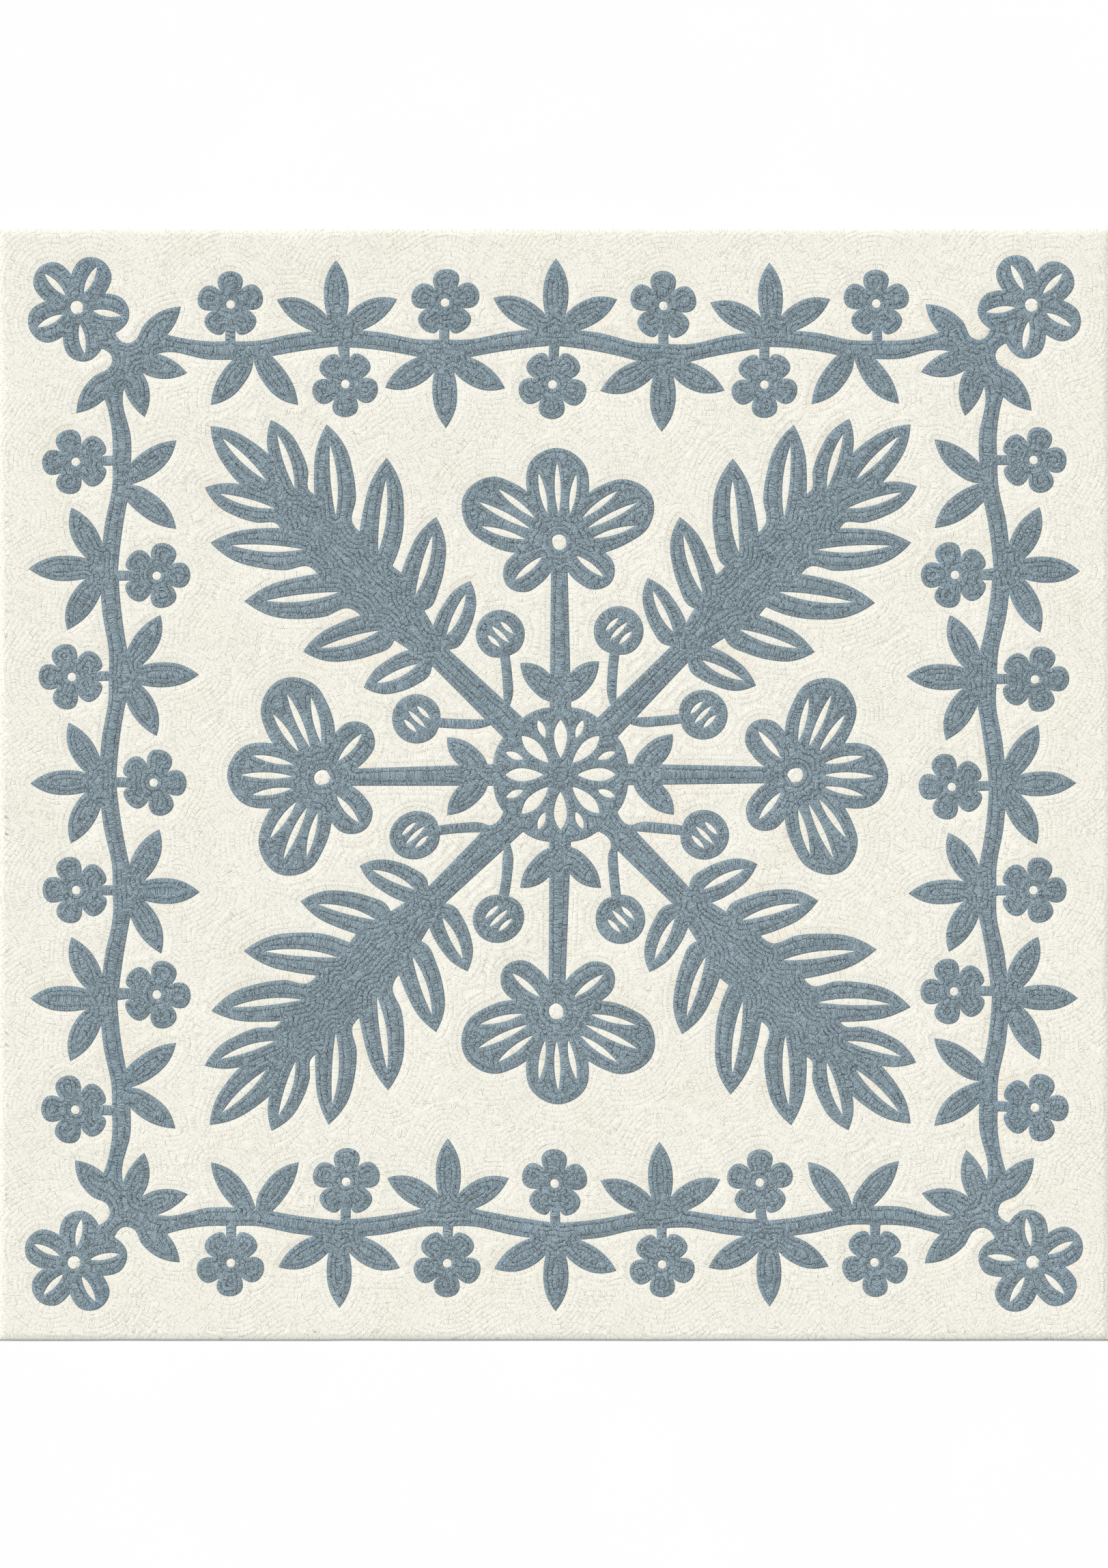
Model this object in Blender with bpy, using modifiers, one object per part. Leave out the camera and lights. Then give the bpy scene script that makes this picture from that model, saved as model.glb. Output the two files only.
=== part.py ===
"""Hawaiian quilt, lying flat: a quilted cream body, and on it a blue centre medallion and a blue border.

Metres, +Z up. The origin is the middle of the underside, and the quilt's sides are parallel to X and Y.
Each blue piece is cut from one cloth. Its outline is the union of leaves, petals, stems and discs,
less the slits that let the cream ground show through.
"""

import math
from typing import NamedTuple

import bmesh
import bpy
from mathutils import Matrix, Vector, geometry

# The quilted body
QUILT_SIDE = 2.100
CREST_HEIGHT = 0.0060
VALLEY_HEIGHT = 0.0046
EDGE_HEIGHT = 0.0038
ROW_COUNT = 18
POINTS_PER_SIDE = 14
SCALLOPS = 8
SCALLOP_DEPTH = 0.055
ROW_SQUARING = 1.5  # the rows turn from round to square, and later as this grows

# The blue cloth
APPLIQUE_THICKNESS = 0.0010
PIECE_GAP = 0.0003

# The centre medallion, from the middle of its hub
MEDALLION_CENTRE = Vector((0.010, 0.016))
HUB_RADIUS = 0.130
STEM_START = 0.100
LEAF_STEM_WIDTH = 0.054
LEAF_BASE = 0.340
LEAF_WEB = ((0.330, 0.044), (0.460, 0.108), (0.630, 0.116), (0.800, 0.060))  # distance and width
BLOSSOM_STEM_WIDTH = 0.042
BLOSSOM_STEM_END_WIDTH = 0.030
BLOSSOM_DISTANCE = 0.446
BLOSSOM_EYE_RADIUS = 0.015
EYE_COLLAR = 2.2  # as a share of the eye's radius
FRUIT_DISTANCE = 0.294
FRUIT_ANGLE = 22.5
FRUIT_RADIUS = 0.047
STALK_ROOT = Vector((0.150, 0.006))
STALK_WIDTH = 0.019
STALK_SAG = 0.026

# Slits
LOBE_SLIT_WIDTH = 0.0125
PETAL_SLIT_WIDTH = 0.0115
FRUIT_SLIT_WIDTH = 0.0085
FRUIT_SLIT_LENGTH = 0.047
FRUIT_SLIT_SPACING = 0.018
SIDE_FRUIT_SLIT_SHORTER = 0.26
SLIT_START = 0.26  # as a share of the lobe's length, as are the next two
SLIT_LENGTH = 0.58
SIDE_SLIT_SHORTER = 0.12
SLIT_SPACING = 0.022
SLIT_FAN = 11

# The border's vine
VINE_DISTANCE = 0.830
VINE_CORNER_RADIUS = 0.070
VINE_WIDTH = 0.035
VINE_SWAY = 0.014
VINE_WAVES = 16
VINE_STEPS = 80
SMALL_BLOSSOM_DISTANCE = 0.090
SMALL_BLOSSOM_RADIUS = 0.064
SMALL_EYE_RADIUS = 0.0082
SMALL_STALK_WIDTH = 0.019
CORNER_BLOSSOM_DISTANCE = 0.117
CORNER_EYE_RADIUS = 0.0125
CORNER_STALK_WIDTH = 0.040

# Hand cutting, which makes every repeat a little different
DRIFT = 0.0032
DRIFT_WAVELENGTHS = (0.83, 0.47, 0.29)
DRIFT_DIRECTION = Vector((0.6, 0.8))
DRIFT_PHASE = 1.3
DRIFT_PHASE_STEP = 2.1

# Outlines
SHORTEST_EDGE = 0.0055
STRAIGHT_WITHIN = 0.0010
SLIT_POINTS = 12
SLIT_SHORTEST_EDGE = 0.003
SLIT_STRAIGHT_WITHIN = 0.0001
SMALLEST_HOLE = 1.3e-4
CUT_EPSILON = 1e-6
INSIDE_OUTLINES = 1

ORIGIN = Vector((0, 0))
Outline = list[Vector]


class Form(NamedTuple):
    """How a petal's ends narrow: 1 makes an end pointed, and near 0 blunt."""

    root: float
    tip: float


class Lobe(NamedTuple):
    """A lobe beside a leaf's midrib, a petal of a blossom, or a leaf of a spray."""

    start: float  # along the midrib or the stem, or from the blossom's eye
    heading: float  # degrees from the midrib or the stem
    length: float
    width: float
    slits: int = 0


class Group(NamedTuple):
    """What grows from the vine, at the same places on each half side."""

    kind: str
    along: float  # from the middle of the side
    outward: int  # 1 towards the quilt's edge, -1 towards its centre


LOBE_FORM = Form(root=0.46, tip=0.60)
TIP_LOBE_FORM = Form(root=0.42, tip=0.66)
PETAL_FORM = Form(root=0.45, tip=0.34)
LEAF_FORM = Form(root=0.80, tip=0.74)
STALK_FORM = Form(root=0.08, tip=0.08)
SLIT_FORM = Form(root=0.70, tip=0.70)
LONG_RAY_FORM = Form(root=0.80, tip=0.55)
ROSETTE_PROFILE = ((-0.5, 0.52), (-0.30, 0.91), (0.0, 1.0), (0.30, 0.91))  # shares of a petal's angle and reach

LONG_RAY = Lobe(start=0.032, heading=0, length=0.072, width=0.024)
SHORT_RAY = Lobe(start=0.076, heading=22.5, length=0.036, width=0.013)

LOBE_BEND = -0.14  # as a share of the lobe's length
LEAF_CURL = 0.14
LEAF_LOBES = (
    Lobe(start=0.335, heading=80, length=0.150, width=0.066, slits=1),
    Lobe(start=0.417, heading=71, length=0.200, width=0.077, slits=1),
    Lobe(start=0.508, heading=61, length=0.238, width=0.082, slits=1),
    Lobe(start=0.604, heading=50, length=0.232, width=0.080, slits=1),
    Lobe(start=0.698, heading=37, length=0.184, width=0.068, slits=1),
)
TIP_LOBE = Lobe(start=0.736, heading=0, length=0.198, width=0.080, slits=1)

BLOSSOM_PETALS = (
    Lobe(start=0.012, heading=0, length=0.164, width=0.122, slits=3),
    Lobe(start=0.012, heading=65, length=0.186, width=0.124, slits=3),
    Lobe(start=0.012, heading=-65, length=0.186, width=0.124, slits=3),
    Lobe(start=0.012, heading=130, length=0.116, width=0.076, slits=1),
    Lobe(start=0.012, heading=-130, length=0.116, width=0.076, slits=1),
)
STEM_LEAVES = (
    Lobe(start=0.130, heading=34, length=0.112, width=0.046),
    Lobe(start=0.130, heading=-34, length=0.112, width=0.046),
)

THREE_LEAVES = (
    Lobe(start=0.004, heading=52, length=0.132, width=0.048),
    Lobe(start=0.004, heading=-52, length=0.132, width=0.048),
    Lobe(start=0.004, heading=0, length=0.142, width=0.048),
)
TWO_LEAVES = (
    Lobe(start=-0.011, heading=28, length=0.140, width=0.046),
    Lobe(start=-0.011, heading=-28, length=0.140, width=0.046),
)
CORNER_PETALS = tuple(Lobe(start=0.006, heading=72 * k, length=0.095, width=0.074, slits=1) for k in range(5))
CORNER_SIDE_LEAVES = (
    Lobe(start=-0.026, heading=80, length=0.140, width=0.048),
    Lobe(start=-0.026, heading=-80, length=0.140, width=0.048),
)
CORNER_INWARD_LEAVES = (
    Lobe(start=0.000, heading=18, length=0.132, width=0.046),
    Lobe(start=0.000, heading=-18, length=0.132, width=0.046),
)

BORDER_GROUPS = (
    Group(kind="leaves", along=0.000, outward=1),
    Group(kind="blossom", along=0.203, outward=1),
    Group(kind="leaves", along=0.407, outward=1),
    Group(kind="blossom", along=0.611, outward=1),
    Group(kind="blossom", along=0.000, outward=-1),
    Group(kind="leaves", along=0.203, outward=-1),
    Group(kind="blossom", along=0.394, outward=-1),
    Group(kind="pair", along=0.566, outward=-1),
)


def clear_scene() -> None:
    for obj in list(bpy.data.objects):
        bpy.data.objects.remove(obj)


def cotton(name: str, colour: tuple[float, float, float]) -> bpy.types.Material:
    made = bpy.data.materials.new(name)
    made.use_nodes = True
    shader = made.node_tree.nodes["Principled BSDF"]
    shader.inputs["Base Color"].default_value = (*colour, 1.0)
    shader.inputs["Roughness"].default_value = 0.92
    shader.inputs["Metallic"].default_value = 0.0
    return made


# Motif outlines: closed, counter-clockwise, and growing from (0, 0) along +X


def polar(radius: float, degrees: float) -> Vector:
    return Vector((radius * math.cos(math.radians(degrees)), radius * math.sin(math.radians(degrees))))


def petal(length: float, width: float, form: Form, bend: float = 0.0, steps: int = 5) -> Outline:
    """A leaf, petal or slit, whose far end bends aside to +Y."""
    widest = form.root / (form.root + form.tip)
    most = widest**form.root * (1 - widest) ** form.tip
    left = []
    right = []
    for step in range(steps + 1):
        t = step / steps
        half_width = 0.5 * width * t**form.root * (1 - t) ** form.tip / most
        middle = Vector((length * t, bend * t * t))
        across = Vector((-2 * bend * t, length)).normalized()
        left.append(middle + across * half_width)
        right.append(middle - across * half_width)
    return right + left[-2:0:-1]


def disc(radius: float, count: int) -> Outline:
    return [polar(radius, 360 * k / count) for k in range(count)]


def rosette(radius: float, petals: int) -> Outline:
    """A small blossom in one outline: each petal has a notch, two shoulders and a tip, the first tip on +X."""
    return [
        polar(radius * reach, 360 * (number + turned) / petals)
        for number in range(petals)
        for turned, reach in ROSETTE_PROFILE
    ]


def strip(start: float, end: float, start_width: float, end_width: float) -> Outline:
    """A straight, tapering stem."""
    return [
        Vector((start, -start_width / 2)),
        Vector((end, -end_width / 2)),
        Vector((end, end_width / 2)),
        Vector((start, start_width / 2)),
    ]


def placed(outline: Outline, at: Vector, heading: float) -> Outline:
    """The outline turned to a heading in degrees, with its root at a point."""
    turn = Matrix.Rotation(math.radians(heading), 2)
    return [turn @ point + at for point in outline]


def mirrored(outline: Outline) -> Outline:
    """The outline mirrored in the X axis, still counter-clockwise."""
    return [Vector((point.x, -point.y)) for point in reversed(outline)]


class Cutwork:
    """Shapes that overlap to make one cut cloth, and the slits cut out of them."""

    def __init__(self) -> None:
        self.cloth: list[Outline] = []
        self.slits: list[Outline] = []

    def add(self, part: "Cutwork", at: Vector, heading: float, flip: bool = False) -> None:
        """Adds another piece of cut work turned to a heading at a point, mirrored first if flip is set."""
        for shapes, more in ((self.cloth, part.cloth), (self.slits, part.slits)):
            for outline in more:
                shapes.append(placed(mirrored(outline) if flip else outline, at, heading))


def slitted_lobe(lobe: Lobe, form: Form, slit_width: float, bend: float = 0.0) -> Cutwork:
    """A lobe or petal from its own root, with its slits side by side. bend is a share of the length."""
    made = Cutwork()
    made.cloth.append(petal(lobe.length, lobe.width, form, bend * lobe.length))
    slope = math.degrees(math.atan(2 * bend * SLIT_START))
    for number in range(lobe.slits):
        aside = number - (lobe.slits - 1) / 2
        share = SLIT_LENGTH - SIDE_SLIT_SHORTER * abs(aside)
        steps = 2 if lobe.slits > 1 else 3
        slit = petal(share * lobe.length, slit_width, SLIT_FORM, bend * share**2 * lobe.length, steps)
        root = Vector((SLIT_START * lobe.length, aside * SLIT_SPACING + bend * SLIT_START**2 * lobe.length))
        made.slits.append(placed(slit, root, slope + aside * SLIT_FAN))
    return made


def leaf_fan(leaves: tuple[Lobe, ...]) -> Cutwork:
    """Pointed leaves from one root, those at the sides curving away from the middle one."""
    made = Cutwork()
    for one in leaves:
        curl = LEAF_CURL * one.length if one.heading else 0.0
        outline = petal(one.length, one.width, LEAF_FORM, curl, 4)
        if one.heading < 0:
            outline = mirrored(outline)
        made.cloth.append(placed(outline, Vector((one.start, 0)), one.heading))
    return made


def blossom(petals: tuple[Lobe, ...], eye_radius: float, slit_width: float) -> Cutwork:
    """A blossom seen from the front, with its open eye at (0, 0)."""
    made = Cutwork()
    for one in petals:
        made.add(slitted_lobe(one, PETAL_FORM, slit_width), polar(one.start, one.heading), one.heading)
    made.cloth.append(disc(EYE_COLLAR * eye_radius, 10))
    made.slits.append(disc(eye_radius, 6))
    return made


# The centre medallion


def breadfruit_leaf() -> Cutwork:
    """A deeply lobed leaf along +X, on a stem from the hub. Its web joins the lobes along the midrib."""
    leaf = Cutwork()
    leaf.cloth.append(strip(STEM_START, LEAF_BASE, LEAF_STEM_WIDTH, LEAF_WEB[0][1]))
    for (start, start_width), (end, end_width) in zip(LEAF_WEB, LEAF_WEB[1:]):
        leaf.cloth.append(strip(start, end, start_width, end_width))
    for lobe in LEAF_LOBES:
        side = Cutwork()
        shape = slitted_lobe(lobe, LOBE_FORM, LOBE_SLIT_WIDTH, LOBE_BEND)
        side.add(shape, Vector((lobe.start, 0)), lobe.heading)
        leaf.add(side, ORIGIN, 0)
        leaf.add(side, ORIGIN, 0, flip=True)
    leaf.add(slitted_lobe(TIP_LOBE, TIP_LOBE_FORM, LOBE_SLIT_WIDTH), Vector((TIP_LOBE.start, 0)), 0)
    return leaf


def fruit_on_stalk() -> Cutwork:
    """A round fruit on the +Y side of a leaf's stem, on a curved stalk from that stem."""
    made = Cutwork()
    middle = polar(FRUIT_DISTANCE, FRUIT_ANGLE)
    reach = middle - STALK_ROOT
    heading = math.degrees(math.atan2(reach.y, reach.x) + math.atan2(STALK_SAG, reach.length))
    made.cloth.append(placed(petal(reach.length, STALK_WIDTH, STALK_FORM, -STALK_SAG, 4), STALK_ROOT, heading))
    made.cloth.append(placed(disc(FRUIT_RADIUS, 10), middle, 0))
    for aside in (-1, 0, 1):
        length = FRUIT_SLIT_LENGTH * (1 - SIDE_FRUIT_SLIT_SHORTER * abs(aside))
        start = middle + Vector((-length / 2, aside * FRUIT_SLIT_SPACING))
        made.slits.append(placed(petal(length, FRUIT_SLIT_WIDTH, SLIT_FORM, 0.0, 2), start, 0))
    return made


def stemmed_blossom() -> Cutwork:
    """A large blossom along +X, on a stem from the hub with a pair of leaves."""
    made = Cutwork()
    made.cloth.append(strip(STEM_START, BLOSSOM_DISTANCE, BLOSSOM_STEM_WIDTH, BLOSSOM_STEM_END_WIDTH))
    made.add(blossom(BLOSSOM_PETALS, BLOSSOM_EYE_RADIUS, PETAL_SLIT_WIDTH), Vector((BLOSSOM_DISTANCE, 0)), 0)
    made.add(leaf_fan(STEM_LEAVES), ORIGIN, 0)
    return made


def hub() -> Cutwork:
    """The round middle with its open star."""
    made = Cutwork()
    made.cloth.append(disc(HUB_RADIUS, 24))
    for eighth in range(8):
        for ray, form, steps in ((LONG_RAY, LONG_RAY_FORM, 3), (SHORT_RAY, SLIT_FORM, 2)):
            heading = ray.heading + 45 * eighth
            outline = petal(ray.length, ray.width, form, 0.0, steps)
            made.slits.append(placed(outline, polar(ray.start, heading), heading))
    return made


def medallion() -> Cutwork:
    whole = hub()
    for quarter in range(4):
        diagonal = 45 + 90 * quarter
        whole.add(breadfruit_leaf(), ORIGIN, diagonal)
        whole.add(fruit_on_stalk(), ORIGIN, diagonal)
        whole.add(fruit_on_stalk(), ORIGIN, diagonal, flip=True)
        whole.add(stemmed_blossom(), ORIGIN, 90 * quarter)
    return whole


# The border


def vine_point(share: float, aside: float) -> Vector:
    """A point of the vine, by its share of the way round and its distance outside the swaying line."""
    straight = VINE_DISTANCE - VINE_CORNER_RADIUS
    eighth = straight + math.pi / 4 * VINE_CORNER_RADIUS
    way = share * 8
    quarter = round(way / 2)
    along = (way - 2 * quarter) * eighth
    out = aside + VINE_SWAY * math.cos(2 * math.pi * VINE_WAVES * share)
    if abs(along) <= straight:
        point = Vector((VINE_DISTANCE + out, along))
    else:
        turned = (abs(along) - straight) / VINE_CORNER_RADIUS
        radius = VINE_CORNER_RADIUS + out
        x = straight + radius * math.cos(turned)
        y = straight + radius * math.sin(turned)
        point = Vector((x, math.copysign(y, along)))
    return Matrix.Rotation(math.radians(90 * quarter), 2) @ point


def vine() -> Cutwork:
    """The vine as a ring of short pieces that share their ends."""
    made = Cutwork()
    half = VINE_WIDTH / 2
    for step in range(VINE_STEPS):
        here = step / VINE_STEPS
        there = (step + 1) / VINE_STEPS
        made.cloth.append(
            [vine_point(here, -half), vine_point(here, half), vine_point(there, half), vine_point(there, -half)]
        )
    return made


def small_blossom() -> Cutwork:
    """A five-petalled blossom on a short stalk from the vine."""
    made = Cutwork()
    middle = Vector((SMALL_BLOSSOM_DISTANCE, 0))
    made.cloth.append(strip(0.0, SMALL_BLOSSOM_DISTANCE, SMALL_STALK_WIDTH, SMALL_STALK_WIDTH))
    made.cloth.append(placed(rosette(SMALL_BLOSSOM_RADIUS, 5), middle, 0))
    made.slits.append(placed(disc(SMALL_EYE_RADIUS, 6), middle, 0))
    return made


def corner_group() -> Cutwork:
    """The corner's large blossom and its leaves, outward along +X, with two leaves inward."""
    made = Cutwork()
    made.cloth.append(strip(0.0, CORNER_BLOSSOM_DISTANCE, CORNER_STALK_WIDTH, CORNER_STALK_WIDTH * 0.75))
    flower = blossom(CORNER_PETALS, CORNER_EYE_RADIUS, PETAL_SLIT_WIDTH)
    made.add(flower, Vector((CORNER_BLOSSOM_DISTANCE, 0)), 0)
    made.add(leaf_fan(CORNER_SIDE_LEAVES), ORIGIN, 0)
    made.add(leaf_fan(CORNER_INWARD_LEAVES), ORIGIN, 180)
    return made


def group_shape(kind: str) -> Cutwork:
    """What grows from the vine at one place, along +X from the vine's middle line."""
    if kind == "leaves":
        return leaf_fan(THREE_LEAVES)
    if kind == "pair":
        return leaf_fan(TWO_LEAVES)
    return small_blossom()


def border() -> Cutwork:
    whole = vine()
    eighth = VINE_DISTANCE - VINE_CORNER_RADIUS + math.pi / 4 * VINE_CORNER_RADIUS
    for quarter in range(4):
        for group in BORDER_GROUPS:
            for side in (-1, 1) if group.along > 0 else (1,):
                share = (side * group.along / eighth + 2 * quarter) / 8
                heading = 90 * quarter + (0 if group.outward > 0 else 180)
                shape = group_shape(group.kind)
                whole.add(shape, vine_point(share, 0), heading, flip=side * group.outward < 0)
        corner = (1 + 2 * quarter) / 8
        whole.add(corner_group(), vine_point(corner, 0), 45 + 90 * quarter)
    return whole


# From overlapping shapes to one cloth


def drift(point: Vector) -> Vector:
    """Moves a point by the slow wander of hand cutting."""
    moved = point.copy()
    for number, wavelength in enumerate(DRIFT_WAVELENGTHS):
        scale = DRIFT / (number + 1)
        wave = 2 * math.pi / wavelength
        phase = DRIFT_PHASE + DRIFT_PHASE_STEP * number
        moved.x += scale * math.sin(wave * DRIFT_DIRECTION.dot(point) + phase)
        moved.y += scale * math.sin(wave * DRIFT_DIRECTION.cross(point) + 2 * phase)
    return moved


def signed_area(loop: Outline) -> float:
    """Positive round the outside of a cloth, and negative round a hole."""
    return sum(loop[k - 1].cross(point) for k, point in enumerate(loop)) / 2


def cut_triangles(cloth: list[Outline], slits: list[Outline]) -> tuple[list[Vector], list[list[int]]]:
    """Corners and triangles that fill the cloth shapes, less the slits. All outlines are counter-clockwise."""
    points: list[Vector] = []
    faces: list[list[int]] = []
    for outline in cloth + slits:
        faces.append(list(range(len(points), len(points) + len(outline))))
        points += outline
    cut = geometry.delaunay_2d_cdt(points, [], faces, INSIDE_OUTLINES, CUT_EPSILON)
    corners, _, triangles, _, _, covers = cut
    kept = [triangle for triangle, cover in zip(triangles, covers) if cover and max(cover) < len(cloth)]
    return corners, kept


def boundary_loops(cutwork: Cutwork, centre: Vector) -> list[Outline]:
    """The loops round the union of the cloth shapes, less the slits: clockwise round a hole."""
    cloth, slits = (
        [[drift(point + centre) for point in outline] for outline in shapes]
        for shapes in (cutwork.cloth, cutwork.slits)
    )
    corners, triangles = cut_triangles(cloth, slits)
    edges = {(triangle[k - 1], triangle[k]) for triangle in triangles for k in range(3)}
    onward: dict[int, list[int]] = {}
    for start, end in sorted(edges):
        if (end, start) not in edges:
            onward.setdefault(start, []).append(end)
    loops = []
    while onward:
        start = next(iter(onward))
        loop = [start]
        while True:
            ends = onward[loop[-1]]
            step = ends.pop()
            if not ends:
                del onward[loop[-1]]
            if step == start:
                break
            loop.append(step)
        loops.append([corners[index] for index in loop])
    return [thinned(loop) for loop in loops if signed_area(loop) > 0 or signed_area(loop) < -SMALLEST_HOLE]


def thinned(loop: Outline) -> Outline:
    """The loop without edges too short to cut or points on straight runs. A slit's few points stay truer."""
    is_slit = len(loop) <= SLIT_POINTS
    shortest = SLIT_SHORTEST_EDGE if is_slit else SHORTEST_EDGE
    straight = SLIT_STRAIGHT_WITHIN if is_slit else STRAIGHT_WITHIN
    kept: Outline = []
    for point in loop:
        if not kept or (point - kept[-1]).length > shortest:
            kept.append(point)
    while len(kept) > 3 and (kept[0] - kept[-1]).length < shortest:
        kept.pop()
    bent: Outline = []
    for k, point in enumerate(kept):
        before = bent[-1] if bent else kept[-1]
        chord = (kept[(k + 1) % len(kept)] - before).normalized()
        if abs(chord.cross(point - before)) > straight:
            bent.append(point)
    return bent


def applique(name: str, cutwork: Cutwork, centre: Vector, blue: bpy.types.Material) -> bpy.types.Object:
    """The cut cloth: its outline filled flat, and thickened upwards from just above the body's crests."""
    loops = boundary_loops(cutwork, centre)
    outsides = [loop for loop in loops if signed_area(loop) > 0]
    holes = [loop[::-1] for loop in loops if signed_area(loop) < 0]
    corners, triangles = cut_triangles(outsides, holes)
    data = bpy.data.meshes.new(name)
    data.from_pydata([(*corner, 0) for corner in corners], [], triangles)
    data.materials.append(blue)
    obj = bpy.data.objects.new(name, data)
    obj.location.z = CREST_HEIGHT + PIECE_GAP
    thickness = obj.modifiers.new("thickness", "SOLIDIFY")
    thickness.thickness = APPLIQUE_THICKNESS
    thickness.offset = 1
    return obj


# The quilted body


def square_point(number: int) -> Vector:
    """One of the points round a square of half side 1, starting at a corner."""
    side, step = divmod(number, POINTS_PER_SIDE)
    return Matrix.Rotation(math.pi / 2 * side, 2) @ Vector((1, 2 * step / POINTS_PER_SIDE - 1))


def row_ring(row: int) -> Outline:
    """A quilting row: a scalloped ring near the centre, and the quilt's square at its edge."""
    share = row / ROW_COUNT
    ring = []
    for number in range(4 * POINTS_PER_SIDE):
        square = square_point(number)
        turn = math.atan2(square.y, square.x)
        scallop = 1 + SCALLOP_DEPTH * math.sin(math.pi * share) * math.cos(SCALLOPS * turn)
        circle = square.normalized() * scallop
        ring.append(circle.lerp(square, share**ROW_SQUARING) * share * QUILT_SIDE / 2)
    return ring


def quilt_body(name: str, cream: bpy.types.Material) -> bpy.types.Object:
    """The wadded ground: rings bridged from the centre out, every other one raised, on a flat underside."""
    mesh = bmesh.new()
    middle = mesh.verts.new((0, 0, CREST_HEIGHT))
    rings = []
    for row in range(1, ROW_COUNT + 1):
        height = VALLEY_HEIGHT if row % 2 else CREST_HEIGHT
        if row == ROW_COUNT:
            height = EDGE_HEIGHT
        rings.append([mesh.verts.new((*point, height)) for point in row_ring(row)])
    rings.append([mesh.verts.new((*point, 0)) for point in row_ring(ROW_COUNT)])
    loops = []
    for ring in rings:
        loops.append([mesh.edges.new((ring[k - 1], ring[k])) for k in range(len(ring))])
    for inner, outer in zip(loops, loops[1:]):
        bmesh.ops.bridge_loops(mesh, edges=inner + outer)
    first = rings[0]
    for k in range(len(first)):
        mesh.faces.new((middle, first[k - 1], first[k]))
    mesh.faces.new(list(reversed(rings[-1])))
    bmesh.ops.recalc_face_normals(mesh, faces=mesh.faces)
    data = bpy.data.meshes.new(name)
    mesh.to_mesh(data)
    mesh.free()
    data.materials.append(cream)
    return bpy.data.objects.new(name, data)


def main() -> None:
    clear_scene()
    quilt = bpy.data.collections.new("hawaiian_quilt")
    bpy.context.scene.collection.children.link(quilt)
    cream = cotton("cream_cotton", (0.83, 0.80, 0.70))
    blue = cotton("blue_cotton", (0.22, 0.28, 0.31))
    quilt.objects.link(quilt_body("quilt_body", cream))
    quilt.objects.link(applique("centre_applique", medallion(), MEDALLION_CENTRE, blue))
    quilt.objects.link(applique("border_applique", border(), ORIGIN, blue))


main()
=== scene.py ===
"""The looks of a Hawaiian quilt that lies flat and is seen from above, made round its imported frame.

The quilt is a cream ground with blue cut cloth sewn on, and echo quilting: rows of stitches that follow
every cut edge, inside the blue and outside it, less than a finger's width apart. EchoField holds the
distance to the nearest cut edge. Its level lines are the rows, and each cloth is triangulated between them,
so that the stitched valleys and the puffed crests are in the mesh. A finish then works in row coordinates:
along a row, counted in puckers, and across the rows, counted in rows.

Metres, +Z up, in the frame's own place: the origin is the middle of the quilt's underside.
"""

import logging
import math
from dataclasses import dataclass, field, replace
from enum import Enum

import bmesh
import bpy
import numpy as np
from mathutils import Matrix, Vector, geometry, kdtree

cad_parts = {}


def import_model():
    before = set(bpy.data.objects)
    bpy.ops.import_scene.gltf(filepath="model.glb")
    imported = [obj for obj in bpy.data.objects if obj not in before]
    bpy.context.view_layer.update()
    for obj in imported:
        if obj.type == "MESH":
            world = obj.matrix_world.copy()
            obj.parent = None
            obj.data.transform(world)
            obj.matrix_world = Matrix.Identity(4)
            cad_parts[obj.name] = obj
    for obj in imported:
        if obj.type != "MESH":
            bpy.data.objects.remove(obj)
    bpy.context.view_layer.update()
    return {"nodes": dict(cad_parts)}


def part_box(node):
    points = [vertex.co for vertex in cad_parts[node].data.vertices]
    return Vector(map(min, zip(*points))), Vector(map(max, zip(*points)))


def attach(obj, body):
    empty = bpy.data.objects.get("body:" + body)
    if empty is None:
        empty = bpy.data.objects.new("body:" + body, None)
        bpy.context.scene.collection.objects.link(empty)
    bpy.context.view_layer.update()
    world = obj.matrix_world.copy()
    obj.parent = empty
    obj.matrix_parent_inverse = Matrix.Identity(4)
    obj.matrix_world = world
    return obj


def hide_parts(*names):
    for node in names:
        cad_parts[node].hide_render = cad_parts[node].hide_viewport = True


LOG = logging.getLogger("hawaiian_quilt")
FRAME_WIDTH = 1623  # the photograph's frame, in pixels
FRAME_HEIGHT = 2296
CROPPED_WIDTH = 0.006  # how much of the quilt's width the photograph cuts off, both sides together
ROW_PITCH = 0.0088  # from one row of stitches to the next, and about one pucker along a row
ROWS_UV = "rows"
FACES_UP = 0.5  # the least z of the normal of a face that counts as a cloth's top
SAME_CORNER = 1e-5  # how near two corners of a frame's node are taken as one
TINY = 1e-9

Array = np.ndarray
Colour = tuple[int, int, int]
Span = tuple[float, float]


class Side(Enum):
    """Which side of the cut edges a cloth lies on: its sign in the echo field."""

    BLUE = 1
    GROUND = -1


class LineKind(Enum):
    """What a line of the triangulation is. The highest value at a triangle names the row that it is on."""

    LOOSE = -1
    EDGE = 0
    VALLEY = 1
    CREST = 2


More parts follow.
